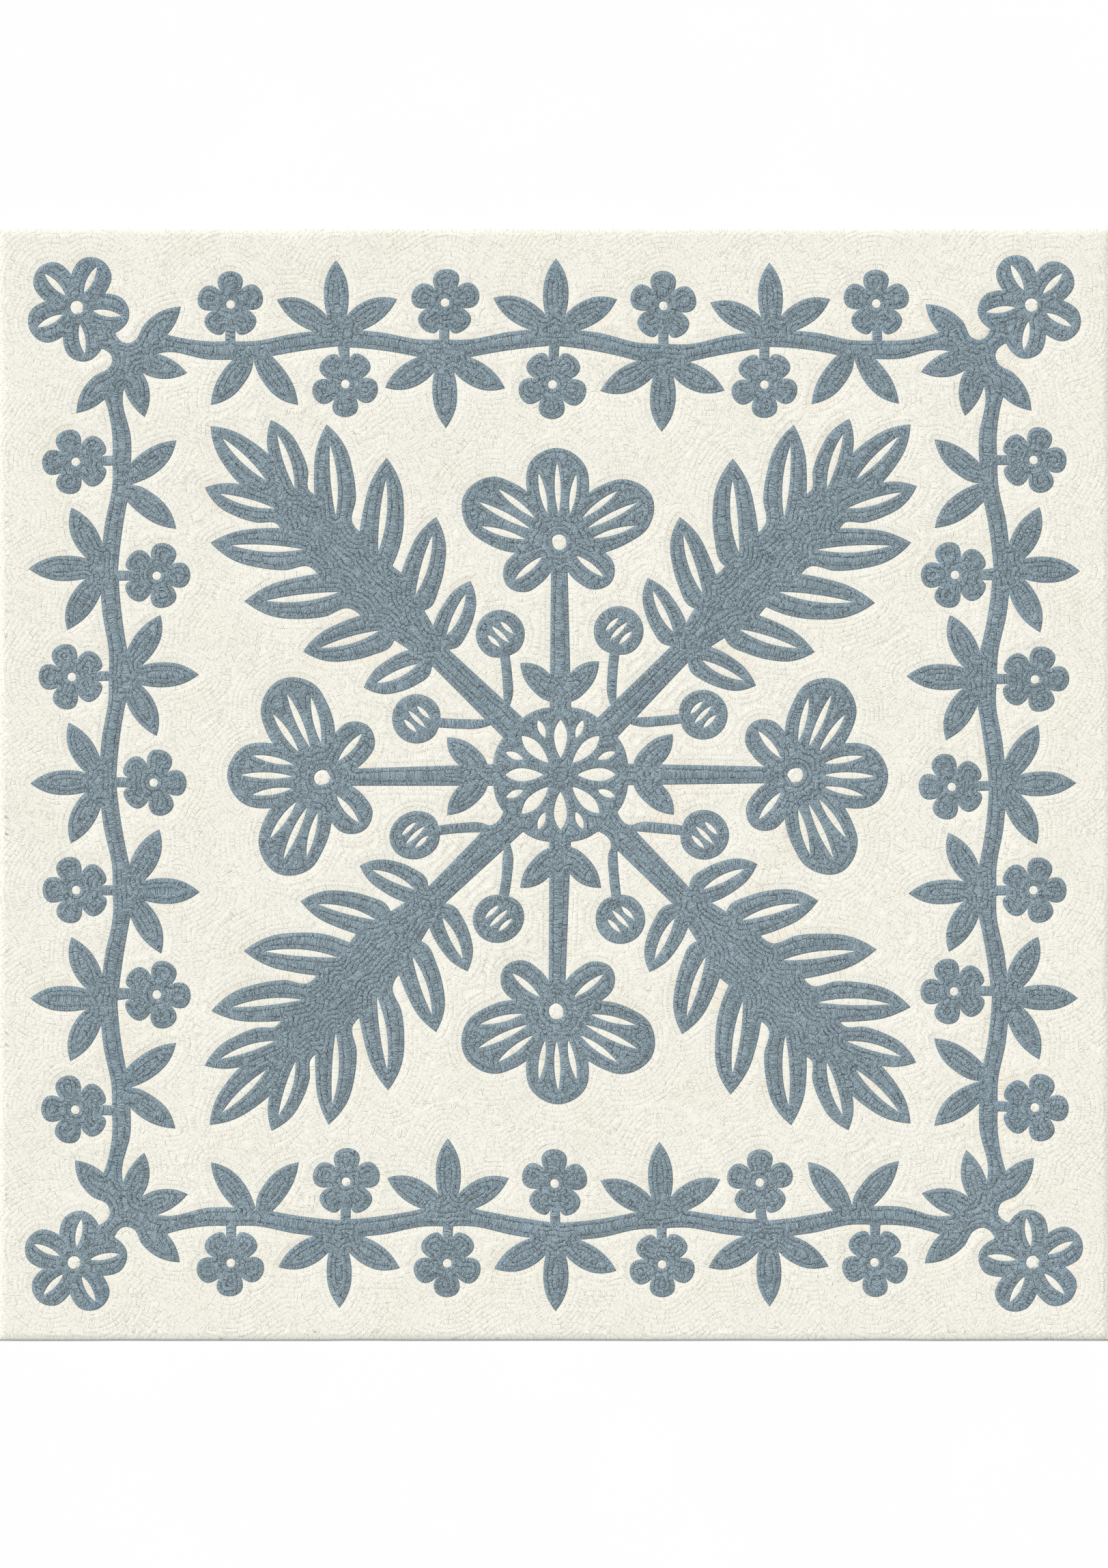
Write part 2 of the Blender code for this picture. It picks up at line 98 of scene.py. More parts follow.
@dataclass(frozen=True)
class SoftNoise:
    """A soft random value over the plane, from -1 to 1, the same in each run."""

    wavelength: float
    seed: int
    lattice_side: int = 256

    def at(self, points: Array) -> Array:
        """Reads the value at points, an array whose last axis is x and y."""
        lattice = np.random.default_rng(self.seed).uniform(-1, 1, (self.lattice_side, self.lattice_side))
        scaled = points / self.wavelength
        low = np.floor(scaled).astype(int)
        part = scaled - low
        right_share, up_share = np.moveaxis(part * part * (3 - 2 * part), -1, 0)
        column, row = np.moveaxis(low % self.lattice_side, -1, 0)
        right, up = (column + 1) % self.lattice_side, (row + 1) % self.lattice_side
        below = lattice[row, column] * (1 - right_share) + lattice[row, right] * right_share
        above = lattice[up, column] * (1 - right_share) + lattice[up, right] * right_share
        return below * (1 - up_share) + above * up_share


FIELD_MARGIN = 0.01  # how far past the quilt the echo field goes
# The slow rise and fall of the whole quilt, the same under each cloth.
LIE_OF_THE_QUILT = SoftNoise(wavelength=0.15, seed=5)
LIE_HEIGHT = 0.0005


# Outlines


def top_loops(node: bpy.types.Object) -> list[Array]:
    """Finds the outline of a flat cloth of the frame.

    Args:
        node: The frame's flat node.

    Returns:
        The loops round its top: counter-clockwise outside, clockwise round the holes.
    """
    mesh = bmesh.new()
    mesh.from_mesh(node.data)
    bmesh.ops.remove_doubles(mesh, verts=mesh.verts, dist=SAME_CORNER)
    mesh.normal_update()
    onward: dict[bmesh.types.BMVert, list[bmesh.types.BMVert]] = {}
    for face in mesh.faces:
        if face.normal.z < FACES_UP:
            continue
        for corner in face.loops:
            if all(other.normal.z < FACES_UP for other in corner.edge.link_faces if other is not face):
                onward.setdefault(corner.vert, []).append(corner.link_loop_next.vert)
    loops = []
    while onward:
        first = next(iter(onward))
        loop = [first]
        while True:
            ends = onward[loop[-1]]
            step = ends.pop()
            if not ends:
                del onward[loop[-1]]
            if step is first:
                break
            loop.append(step)
        loops.append(np.array([vert.co.xy for vert in loop]))
    mesh.free()
    return loops


def signed_area(loop: Array) -> float:
    """Measures a loop: positive if it is counter-clockwise, negative round a hole."""
    after = np.roll(loop, -1, axis=0)
    return float((loop[:, 0] * after[:, 1] - loop[:, 1] * after[:, 0]).sum() / 2)


def smoothed(loop: Array, step: float, convex_corner: float = 80.0, concave_corner: float = 62.0) -> Array:
    """Rounds a loop's flats into curves, as needle-turned cloth has them, and keeps its sharp corners.

    Args:
        loop: The loop's points.
        step: The greatest distance between the new points.
        convex_corner: The turn in degrees above which a corner that points out of the cloth stays sharp.
        concave_corner: The same for a corner that points into the cloth.

    Returns:
        The points of the smooth loop, through all the old ones.
    """
    before = loop - np.roll(loop, 1, axis=0)
    after = np.roll(loop, -1, axis=0) - loop
    before_length = np.linalg.norm(before, axis=1)[:, None]
    after_length = np.linalg.norm(after, axis=1)[:, None]
    cross = before[:, 0] * after[:, 1] - before[:, 1] * after[:, 0]
    turn = np.degrees(np.arctan2(cross, (before * after).sum(axis=1)))
    sharp = (turn > convex_corner) | (turn < -concave_corner)
    tangent = before / before_length * after_length + after / after_length * before_length
    tangent /= np.linalg.norm(tangent, axis=1)[:, None] + TINY
    pieces = []
    for k, start in enumerate(loop):
        end_index = (k + 1) % len(loop)
        chord = after[k]
        length = after_length[k, 0]
        leave, arrive = tangent[k] * length, tangent[end_index] * length
        if sharp[k] and sharp[end_index]:
            leave, arrive = chord, chord
        elif sharp[k]:
            leave = 2 * chord - arrive
            leave *= length / (np.linalg.norm(leave) + TINY)
        elif sharp[end_index]:
            arrive = 2 * chord - leave
            arrive *= length / (np.linalg.norm(arrive) + TINY)
        t = np.linspace(0, 1, max(1, math.ceil(length / step)), endpoint=False)[:, None]
        ease = t * t * (3 - 2 * t)
        pieces.append(start + ease * chord + t * (1 - t) ** 2 * leave - t * t * (1 - t) * arrive)
    return np.concatenate(pieces)


def resampled(line: Array, closed: bool, step: float) -> Array:
    """Spaces a line's points evenly, about a step apart."""
    ring = np.vstack((line, line[:1])) if closed else line
    gone = np.concatenate(([0.0], np.cumsum(np.linalg.norm(np.diff(ring, axis=0), axis=1))))
    count = max(3, round(gone[-1] / step))
    wanted = np.linspace(0, gone[-1], count, endpoint=not closed)
    return np.column_stack([np.interp(wanted, gone, ring[:, axis]) for axis in (0, 1)])


@dataclass
class RowLine:
    """A line that the triangulation keeps: an edge of the cloth, or a level line of the echo field."""

    points: Array
    closed: bool
    kind: LineKind


@dataclass
class EchoField:
    """The distance to the nearest cut edge on a square grid: positive on the blue cloth, negative off it.

    Away from the edges the distance sways a little, as rows that are stitched by eye do.

    Attributes:
        loops: The cut edges, as smooth loops.
        half: Half the side of the square that the grid covers.
        cell: The grid's pitch.
        reach: The greatest distance that is looked for.
        sample_step: How far apart the points are that stand for the edges in the search.
        true_for: How near an edge the distance doesn't sway.
        row_ends_below: The steepness of the field below which a row ends.
        level_below: The steepness below which the field counts as level.
        border: How far inside the square the rows stop.
        shortest: The shortest line that is kept, in steps between its points.
        sway: How far the rows sway, with the noise that says where.
        grid: The distance at each grid point, row by row.
        steepness: How fast it changes there: 1 on an even slope, near 0 in the middle between two edges.
    """

    loops: list[Array]
    half: float
    cell: float = 0.002
    reach: float = 0.30
    sample_step: float = 0.001
    true_for: float = 0.003
    row_ends_below: float = 0.55
    level_below: float = 0.40
    border: float = 0.022
    shortest: float = 1.5
    sway: tuple[tuple[float, SoftNoise], ...] = (
        (0.0011, SoftNoise(0.024, 11)),
        (0.0018, SoftNoise(0.10, 12)),
    )
    grid: Array = field(init=False)
    steepness: Array = field(init=False)

    def __post_init__(self) -> None:
        """Works the grid out: nearest edge by jump flooding, exact distance, sign, sway, then steepness."""
        dense = [resampled(loop, True, self.sample_step) for loop in self.loops]
        samples = np.concatenate(dense)
        after = np.concatenate([np.roll(loop, -1, axis=0) for loop in dense])
        before = np.concatenate([np.roll(loop, 1, axis=0) for loop in dense])
        count = math.ceil(2 * self.half / self.cell) + 1
        axis = np.arange(count) * self.cell - self.half
        place = np.stack(np.meshgrid(axis, axis), axis=-1)
        nearest = self._flooded(samples, place)
        near = samples[nearest]
        distance = np.minimum(
            self._to_segment(place, near, after[nearest]), self._to_segment(place, before[nearest], near)
        )
        swaying = np.clip((distance - self.true_for) / ROW_PITCH, 0, 1)
        distance += swaying * sum(amount * noise.at(place) for amount, noise in self.sway)
        self.grid = np.where(self._inside(samples, after, count), distance, -distance)
        uphill, rightward = np.gradient(self.grid, self.cell)
        self.steepness = np.hypot(self._blurred(uphill), self._blurred(rightward))

    def _flooded(self, samples: Array, place: Array) -> Array:
        """Finds the nearest sample of each grid point by jump flooding."""
        count = len(place)

        def kept(shift: int) -> slice:
            """The rows or columns that stay on the grid when they are moved by shift."""
            return slice(max(0, -shift), count - max(0, shift))

        nearest = np.full((count, count), -1, np.int32)
        column, row = np.rint((samples.T + self.half) / self.cell).astype(int)
        nearest[row, column] = np.arange(len(samples))
        best = np.full((count, count), np.inf)
        known = nearest >= 0
        best[known] = np.linalg.norm(place[known] - samples[nearest[known]], axis=-1)
        jump = 2 ** math.ceil(math.log2(self.reach / self.cell / 2))
        for step in [jump >> k for k in range(jump.bit_length())] + [1]:
            for down in (-step, 0, step):
                for right in (-step, 0, step):
                    here, there = (kept(down), kept(right)), (kept(-down), kept(-right))
                    other = nearest[there]
                    away = place[here] - samples[other]
                    length = np.hypot(away[..., 0], away[..., 1])
                    better = (other >= 0) & (length < best[here])
                    nearest[here] = np.where(better, other, nearest[here])
                    best[here] = np.where(better, length, best[here])
        return nearest

    @staticmethod
    def _to_segment(place: Array, start: Array, end: Array) -> Array:
        """Measures from each place to its own segment."""
        along = end - start
        share = ((place - start) * along).sum(axis=-1) / ((along * along).sum(axis=-1) + TINY**2)
        foot = start + np.clip(share, 0, 1)[..., None] * along
        return np.linalg.norm(place - foot, axis=-1)

    def _inside(self, start: Array, end: Array, count: int) -> Array:
        """Tells which grid points are on the blue cloth, by counting the edges to their left."""
        from_row = (start[:, 1] + self.half) / self.cell
        to_row = (end[:, 1] + self.half) / self.cell
        first = np.ceil(np.minimum(from_row, to_row)).astype(int)
        crossed = np.ceil(np.maximum(from_row, to_row)).astype(int) > first
        row = first[crossed]
        share = (row - from_row[crossed]) / (to_row[crossed] - from_row[crossed])
        x = start[crossed, 0] + share * (end[crossed, 0] - start[crossed, 0])
        column = np.ceil((x + self.half) / self.cell).astype(int)
        flips = np.zeros((count, count), np.int32)
        np.add.at(flips, (row, column), 1)
        return np.cumsum(flips, axis=1) % 2 == 1

    @staticmethod
    def _blurred(values: Array) -> Array:
        """Averages each grid value with its eight neighbours."""
        padded = np.pad(values, 1, mode="edge")
        rows = padded[:-2] + padded[1:-1] + padded[2:]
        return (rows[:, :-2] + rows[:, 1:-1] + rows[:, 2:]) / 9

    def read(self, values: Array, points: Array) -> Array:
        """Reads a grid of values at points, between the grid's own by bilinear interpolation."""
        scaled = np.clip((points + self.half) / self.cell, 0, len(values) - 1.001)
        low = scaled.astype(int)
        part = scaled - low
        column, row = low[:, 0], low[:, 1]
        right, up = part[:, 0], part[:, 1]
        below = values[row, column] * (1 - right) + values[row, column + 1] * right
        above = values[row + 1, column] * (1 - right) + values[row + 1, column + 1] * right
        return below * (1 - up) + above * up

    def level_lines(self, level: float) -> list[tuple[Array, bool]]:
        """Traces where the field has a level.

        Args:
            level: The level, positive on the blue cloth.

        Returns:
            Each line's points, with the higher side on their left, and whether it closes on itself.
        """
        count = len(self.grid)
        above = self.grid > level
        corners = np.stack((above[:-1, :-1], above[:-1, 1:], above[1:, 1:], above[1:, :-1]))
        mixed = np.nonzero(corners.any(axis=0) & ~corners.all(axis=0))
        corners = corners[:, mixed[0], mixed[1]]
        base = mixed[0] * count + mixed[1]
        upright = count * count
        sides = np.stack((base, upright + base + 1, base + count, upright + base))
        onward: dict[int, int] = {}
        for side in range(4):
            for run in (1, 2, 3):
                found = corners[side] & ~corners[(side + 1) % 4] & ~corners[(side - run) % 4]
                for back in range(1, run):
                    found &= corners[(side - back) % 4]
                onward.update(zip(sides[side][found].tolist(), sides[(side - run) % 4][found].tolist()))
        entered = set(onward.values())
        starts = [start for start in onward if start not in entered]
        lines = []
        while onward:
            first = starts.pop() if starts else next(iter(onward))
            chain = [first]
            while chain[-1] in onward:
                chain.append(onward.pop(chain[-1]))
            closed = chain[-1] == first
            lines.append((self._crossings(np.array(chain[:-1] if closed else chain), level), closed))
        return lines

    def _crossings(self, sides: Array, level: float) -> Array:
        """Places the crossing of a level on each named side of the grid's cells."""
        count = len(self.grid)
        upright = sides >= count * count
        base = sides % (count * count)
        row, column = base // count, base % count
        here = self.grid[row, column]
        there = self.grid[row + upright, column + ~upright]
        share = (level - here) / (there - here)
        x = (column + share * ~upright) * self.cell - self.half
        y = (row + share * upright) * self.cell - self.half
        return np.column_stack((x, y))

    def lines_at(self, depth: float, side: Side, kind: LineKind, step: float) -> list[RowLine]:
        """Traces one depth, evenly spaced along each line.

        Args:
            depth: The distance from the cut edges.
            side: The side of them.
            kind: What the lines are.
            step: The distance between points.

        Returns:
            The lines, without the shortest. A row's line stops at the border, and where the field is nearly
            level, in the middle between two edges, because a quilter's row ends there.
        """
        lines = []
        for points, closed in self.level_lines(side.value * depth):
            sound = self.read(self.steepness, points) > self.row_ends_below
            sound &= np.abs(points).max(axis=1) < self.half - self.border
            if kind is LineKind.EDGE or sound.all():
                lines.append((points, closed))
                continue
            if closed:
                to_break = -int(np.argmin(sound))
                points, sound = np.roll(points, to_break, axis=0), np.roll(sound, to_break)
            ends = np.flatnonzero(np.diff(np.concatenate(([0], sound.astype(int), [0]))))
            lines += [(points[start:end], False) for start, end in zip(ends[::2], ends[1::2])]
        lengths = [np.linalg.norm(np.diff(points, axis=0), axis=1).sum() for points, _ in lines]
        kept = [line for line, length in zip(lines, lengths) if length > self.shortest * step]
        return [RowLine(resampled(points, closed, step), closed, kind) for points, closed in kept]

    def rows(self, side: Side, step: float) -> list[RowLine]:
        """Traces every row on one side: its crest, and the stitched valley beyond it."""
        lines = []
        for row in range(math.ceil(float((side.value * self.grid).max()) / ROW_PITCH)):
            lines += self.lines_at((row + 0.5) * ROW_PITCH, side, LineKind.CREST, step)
            lines += self.lines_at((row + 1.0) * ROW_PITCH, side, LineKind.VALLEY, step)
        return lines + self.level_places(side, step)

    def level_places(self, side: Side, step: float) -> list[RowLine]:
        """Scatters single points where rows from two edges meet, so that the cloth puffs between them."""
        stride = round(step / self.cell)
        place = np.arange(0, len(self.grid), stride)
        row, column = np.meshgrid(place, place, indexing="ij")
        meeting = self.steepness[row, column] < self.level_below
        meeting &= side.value * self.grid[row, column] > self.true_for
        points = np.column_stack((column[meeting], row[meeting])) * self.cell - self.half
        points = points[np.abs(points).max(axis=1) < self.half - self.border]
        return [RowLine(point[None], False, LineKind.LOOSE) for point in points]


# From lines to cloth


@dataclass(frozen=True)
class RowRules:
    """How a cloth's puffs, and its row coordinates, come from the echo field and the lines on it.

    Attributes:
        same_point: How near two points are taken as one.
        on_edge: How near a cut edge a point of that edge has no depth.
        level: The steepness of the field up to which the cloth has no rows, only a puff.
        to_full: How much steeper it is where the rows are full.
        level_puff: How high the cloth puffs where the field is level, 0 to 1.
        on_crest: How much of a row a triangle may cover and still lie on one crest.
        past_first: How far from the edge a triangle lies on a crest at all, in rows.
        pucker_lengths: The shortest pucker and the longest, in row pitches.
        spare_puckers: How many more puckers are drawn than the rows need on average.
        line_gap: The gap between two lines on the long line of all lines.
        count_again: How many puckers there are before a line's count starts again from 0, because large
            numbers lose their last digits.
    """

    same_point: float = 1e-6
    on_edge: float = 0.0003
    level: float = 0.35
    to_full: float = 0.45
    level_puff: float = 0.55
    on_crest: float = 0.3
    past_first: float = 0.7
    pucker_lengths: Span = (0.5, 1.5)
    spare_puckers: int = 200
    line_gap: float = 5 * ROW_PITCH
    count_again: int = 512


ROW_RULES = RowRules()
TRIANGLES_INSIDE = 1  # the triangulation's own number for its output of the triangles inside the outlines


@dataclass
class Lie:
    """A triangulated cloth in plan.

    Attributes:
        points: The points in plan.
        triangles: Three point numbers for each triangle.
        depth: Each point's distance from the nearest cut edge.
        puff: How far each point is up from the stitched valleys: 0 in one, 1 on a crest.
        pucker: The same along the row: 0 in a cross crease, 1 between two.
        rows: Each triangle corner's row coordinates: puckers along, and rows across.
    """

    points: Array
    triangles: Array
    depth: Array
    puff: Array
    pucker: Array
    rows: Array

    @classmethod
    def between(cls, outlines: list[Array], lines: list[RowLine], echo: EchoField, seed: int) -> "Lie":
        """Triangulates the cloth inside outlines and between its row lines.

        Args:
            outlines: The cloth's edge loops: counter-clockwise outside, clockwise round the holes.
            lines: The row lines to keep.
            echo: The field that the rows follow.
            seed: Sets where the puckers are.

        Returns:
            The cloth in plan.
        """
        cloth = [RowLine(loop, True, LineKind.EDGE) for loop in outlines if signed_area(loop) > 0]
        holes = [RowLine(loop[::-1], True, LineKind.EDGE) for loop in outlines if signed_area(loop) < 0]
        placed = cloth + holes + lines
        points, triangles, origin = cls._triangulated(placed, len(cloth), len(holes))
        kinds = np.concatenate([np.full(len(line.points), line.kind.value) for line in placed])
        depth = np.abs(echo.read(echo.grid, points))
        depth[(origin >= 0) & (kinds[origin] == LineKind.EDGE.value) & (depth < ROW_RULES.on_edge)] = 0.0
        steepness = echo.read(echo.steepness, points)
        lean = np.clip((steepness - ROW_RULES.level) / ROW_RULES.to_full, 0, 1)
        along, tangent = cls._row_places(placed)
        cls._join_loose(np.concatenate([line.points for line in placed]), kinds, along, tangent)
        count = round(along[-1] / ROW_PITCH) + ROW_RULES.spare_puckers
        positions = np.cumsum(np.random.default_rng(seed).uniform(*ROW_RULES.pucker_lengths, count))
        numbers = np.arange(count)

        def puckers(where: Array) -> Array:
            """Counts the cross creases up to a place on the long line of all rows."""
            return np.interp(where, positions * ROW_PITCH, numbers)

        rank = np.where(origin >= 0, kinds[origin] * float(len(placed) + 1), -1.0)
        line_number = np.repeat(np.arange(len(placed)), [len(line.points) for line in placed])
        rank += np.where(origin >= 0, line_number[origin], 0)
        leader = triangles[np.arange(len(triangles)), rank[triangles].argmax(axis=1)]
        source = origin[leader]
        offset = points[triangles] - points[leader][:, None, :]
        u = puckers(along[source][:, None] + (offset * tangent[source][:, None, :]).sum(axis=2))
        starts = np.cumsum([0] + [len(line.points) for line in placed[:-1]])
        counted_before = puckers(along[starts]) // ROW_RULES.count_again * ROW_RULES.count_again
        u -= counted_before[line_number[source]][:, None]
        across = depth[triangles] / ROW_PITCH
        band_middle = np.floor(across.mean(axis=1, keepdims=True)) + 0.5
        v = band_middle + (across - band_middle) * lean[triangles]
        on_crest = (np.ptp(v, axis=1) < ROW_RULES.on_crest) & (v.min(axis=1) > ROW_RULES.past_first)
        v[on_crest] = np.floor(v[on_crest].mean(axis=1, keepdims=True)) + 0.5
        row_puff = np.abs(np.sin(np.pi * depth / ROW_PITCH))
        puff = ROW_RULES.level_puff + (row_puff - ROW_RULES.level_puff) * lean
        pucker = np.where(origin >= 0, np.abs(np.sin(np.pi * puckers(along[origin]))), 1.0)
        return cls(points, triangles, depth, puff, pucker, np.stack((u, v), axis=2))

    @staticmethod
    def _in_order(triangles: Array) -> Array:
        """Sorts triangles, each from its lowest corner on: they come in another order with each run."""
        lowest = triangles.argmin(axis=1)[:, None]
        turned = np.take_along_axis(triangles, (lowest + np.arange(3)) % 3, axis=1)
        return turned[np.lexsort(turned.T[::-1])]

    @classmethod
    def _triangulated(cls, placed: list[RowLine], cloths: int, holes: int) -> tuple[Array, Array, Array]:
        """Triangulates the plan with every line kept.

        Args:
            placed: The lines: the outer edges first, then the edges of the holes, then the rows.
            cloths: How many outer edges there are.
            holes: How many holes.

        Returns:
            The points, three point numbers for each triangle, and for each point the number of the placed
            point that it is, or -1 if lines cross there.
        """
        starts = np.cumsum([0] + [len(line.points) for line in placed])
        faces = [list(range(starts[k], starts[k + 1])) for k in range(cloths + holes)]
        edges = []
        for line, start in zip(placed[len(faces) :], starts[len(faces) :]):
            last = start + len(line.points) - 1
            edges += [(k, k + 1) for k in range(start, last)] + ([(last, start)] if line.closed else [])
        given = [Vector(point) for line in placed for point in line.points.tolist()]
        cut = geometry.delaunay_2d_cdt(given, edges, faces, TRIANGLES_INSIDE, ROW_RULES.same_point)
        kept = [triangle for triangle, cover in zip(cut[2], cut[5]) if cover and max(cover) < cloths]
        used, triangles = np.unique(np.array(kept), return_inverse=True)
        origin = np.array([came[0] if came else -1 for came in cut[3]])[used]
        points = np.array([tuple(point) for point in cut[0]])[used]
        return points, cls._in_order(triangles.reshape(-1, 3)), origin

    @staticmethod
    def _row_places(placed: list[RowLine]) -> tuple[Array, Array]:
        """Puts all lines on one long line, end to end.

        Args:
            placed: The lines.

        Returns:
            Each point's place on the long line, and its line's direction there.
        """
        along, tangent, gone = [], [], 0.0
        for line in placed:
            before = np.roll(line.points, 1, axis=0)
            after = np.roll(line.points, -1, axis=0)
            if not line.closed:
                before[0], after[-1] = line.points[0], line.points[-1]
            direction = after - before
            tangent.append(direction / (np.linalg.norm(direction, axis=1)[:, None] + TINY))
            steps = np.linalg.norm(np.diff(line.points, axis=0), axis=1)
            along.append(gone + np.concatenate(([0.0], np.cumsum(steps))))
            gone = along[-1][-1] + ROW_RULES.line_gap
        return np.concatenate(along), np.concatenate(tangent)

    @staticmethod
    def _join_loose(points: Array, kinds: Array, along: Array, tangent: Array) -> None:
        """Gives each loose point the direction of the nearest row, and its own place beside that row.

        Args:
            points: The points of all lines.
            kinds: What each point's line is.
            along: Each point's place on the long line, changed where the point is loose.
            tangent: Its line's direction there, changed too.
        """
        loose = kinds == LineKind.LOOSE.value
        tree = kdtree.KDTree(int((~loose).sum()))
        for number in np.flatnonzero(~loose).tolist():
            tree.insert((*points[number], 0.0), number)
        tree.balance()
        for number in np.flatnonzero(loose).tolist():
            _, nearest, _ = tree.find((*points[number], 0.0))
            tangent[number] = tangent[nearest]
            along[number] = along[nearest] + (points[number] - points[nearest]) @ tangent[nearest]

    def to_mesh(self, heights: Array) -> bmesh.types.BMesh:
        """Makes the cloth's top as a mesh, with the row coordinates as its UV map."""
        data = bpy.data.meshes.new("lie")
        data.from_pydata(np.column_stack((self.points, heights)).tolist(), [], self.triangles.tolist())
        layer = data.uv_layers.new(name=ROWS_UV)
        layer.data.foreach_set("uv", self.rows.astype(np.float32).ravel())
        mesh = bmesh.new()
        mesh.from_mesh(data)
        bpy.data.meshes.remove(data)
        return mesh


def finished(name: str, mesh: bmesh.types.BMesh, finish: bpy.types.Material) -> bpy.types.Object:
    """Makes a smooth-shaded object of a mesh, at the origin, and frees the mesh."""
    bmesh.ops.recalc_face_normals(mesh, faces=mesh.faces)
    data = bpy.data.meshes.new(name)
    mesh.to_mesh(data)
    mesh.free()
    data.shade_smooth()
    data.materials.append(finish)
    piece = bpy.data.objects.new(name, data)
    bpy.context.scene.collection.objects.link(piece)
    return piece


def open_edges(mesh: bmesh.types.BMesh) -> list[bmesh.types.BMEdge]:
    """The edges with a face on one side only."""
    return [edge for edge in mesh.edges if edge.is_boundary]


def extruded_rim(mesh: bmesh.types.BMesh, rim: list[bmesh.types.BMEdge]) -> list[bmesh.types.BMEdge]:
    """Extrudes an open rim in place and returns the new one."""
    made = bmesh.ops.extrude_edge_only(mesh, edges=rim)["geom"]
    return [item for item in made if isinstance(item, bmesh.types.BMEdge) and item.is_boundary]


# Finishes


class Socket:
    """A shader value in an expression: it adds Math nodes for the operators that are used on it."""

    def __init__(self, tree: "Nodes", output: bpy.types.NodeSocket) -> None:
        """Wraps one output of a node tree."""
        self.tree = tree
        self.output = output

    def _math(self, operation: str, *values: object) -> "Socket":
        """Adds a Math node."""
        return self.tree.node("ShaderNodeMath", {"operation": operation}, dict(enumerate(values)))

    def __add__(self, other: object) -> "Socket":
        """Adds."""
        return self._math("ADD", self, other)

    def __radd__(self, other: object) -> "Socket":
        """Adds, reflected."""
        return self._math("ADD", other, self)

    def __sub__(self, other: object) -> "Socket":
        """Subtracts."""
        return self._math("SUBTRACT", self, other)

    def __rsub__(self, other: object) -> "Socket":
        """Subtracts, reflected."""
        return self._math("SUBTRACT", other, self)

    def __mul__(self, other: object) -> "Socket":
        """Multiplies."""
        return self._math("MULTIPLY", self, other)

    def __rmul__(self, other: object) -> "Socket":
        """Multiplies, reflected."""
        return self._math("MULTIPLY", other, self)

    def __abs__(self) -> "Socket":
        """The value without its sign."""
        return self._math("ABSOLUTE", self)

    def larger(self, other: object) -> "Socket":
        """The larger of two values."""
        return self._math("MAXIMUM", self, other)

    def floor(self) -> "Socket":
        """The whole number below."""
        return self._math("FLOOR", self)

    def fraction(self) -> "Socket":
        """The part past the whole number."""
        return self._math("FRACT", self)

    def to_whole(self) -> "Socket":
        """The distance to the nearest whole number, 0 to 0.5."""
        return abs((self + 0.5).fraction() - 0.5)

    def ramp(self, start: float, end: float, low: float = 0.0, high: float = 1.0) -> "Socket":
        """Eases from low at start to high at end, and holds outside them."""
        limits = {"Value": self, "From Min": start, "From Max": end, "To Min": low, "To Max": high}
        return self.tree.node("ShaderNodeMapRange", {"interpolation_type": "SMOOTHSTEP"}, limits)


@dataclass
class Nodes:
    """A material's node tree, and the one way in which it grows."""

    material: bpy.types.Material

    @classmethod
    def new(cls, name: str) -> "Nodes":
        """Starts a material with an empty tree."""
        material = bpy.data.materials.new(name)
        material.use_nodes = True
        material.node_tree.nodes.clear()
        return cls(material)

    def node(
        self, kind: str, settings: dict[str, object], inputs: dict[int | str, object], output: int | str = 0
    ) -> Socket | None:
        """Adds a node.

        Args:
            kind: The node's type.
            settings: Its own settings, set first.
            inputs: Values or links by socket name or number.
            output: The name or number of the output to return.

        Returns:
            That output, or None from a node that has none.
        """
        made = self.material.node_tree.nodes.new(kind)
        for name, value in settings.items():
            setattr(made, name, value)
        for key, value in inputs.items():
            if isinstance(value, Socket):
                self.material.node_tree.links.new(value.output, made.inputs[key])
            else:
                made.inputs[key].default_value = value
        return Socket(self, made.outputs[output]) if made.outputs else None

    def joined(self, x: object, y: object, z: object = 0.0) -> Socket:
        """Makes a vector of three parts."""
        return self.node("ShaderNodeCombineXYZ", {}, {"X": x, "Y": y, "Z": z})

    def mixed(self, share: object, first: object, second: object) -> Socket:
        """Mixes two colours."""
        return self.node("ShaderNodeMix", {"data_type": "RGBA"}, {0: share, 6: first, 7: second}, 2)

    def cloudy(self, place: Socket, scale: float, detail: float = 2.0, roughness: float = 0.5) -> Socket:
        """Noise about 0, mostly within plus or minus 0.25."""
        inputs = {"Vector": place, "Scale": scale, "Detail": detail, "Roughness": roughness}
        return self.node("ShaderNodeTexNoise", {"noise_dimensions": "3D"}, inputs, "Fac") - 0.5

    def chances(self, x: object, y: object) -> list[Socket]:
        """Three random values, 0 to 1, that belong to a pair of whole numbers."""
        cell = {"Vector": self.joined(x, y)}
        drawn = self.node("ShaderNodeTexWhiteNoise", {"noise_dimensions": "2D"}, cell, "Color")
        channels = ("Red", "Green", "Blue")
        return [self.node("ShaderNodeSeparateColor", {}, {0: drawn}, channel) for channel in channels]

    def parts(self, vector: Socket, names: str) -> list[Socket]:
        """Takes the named parts of a vector, such as "XY"."""
        return [self.node("ShaderNodeSeparateXYZ", {}, {0: vector}, name) for name in names]


def linear(colour: Colour) -> tuple[float, float, float, float]:
    """Turns a colour as a screen shows it, 0 to 255, into the linear one that a shader takes."""
    parts = [value / 255 for value in colour]
    curved = [part / 12.92 if part <= 0.04045 else ((part + 0.055) / 1.055) ** 2.4 for part in parts]
    return (*curved, 1.0)


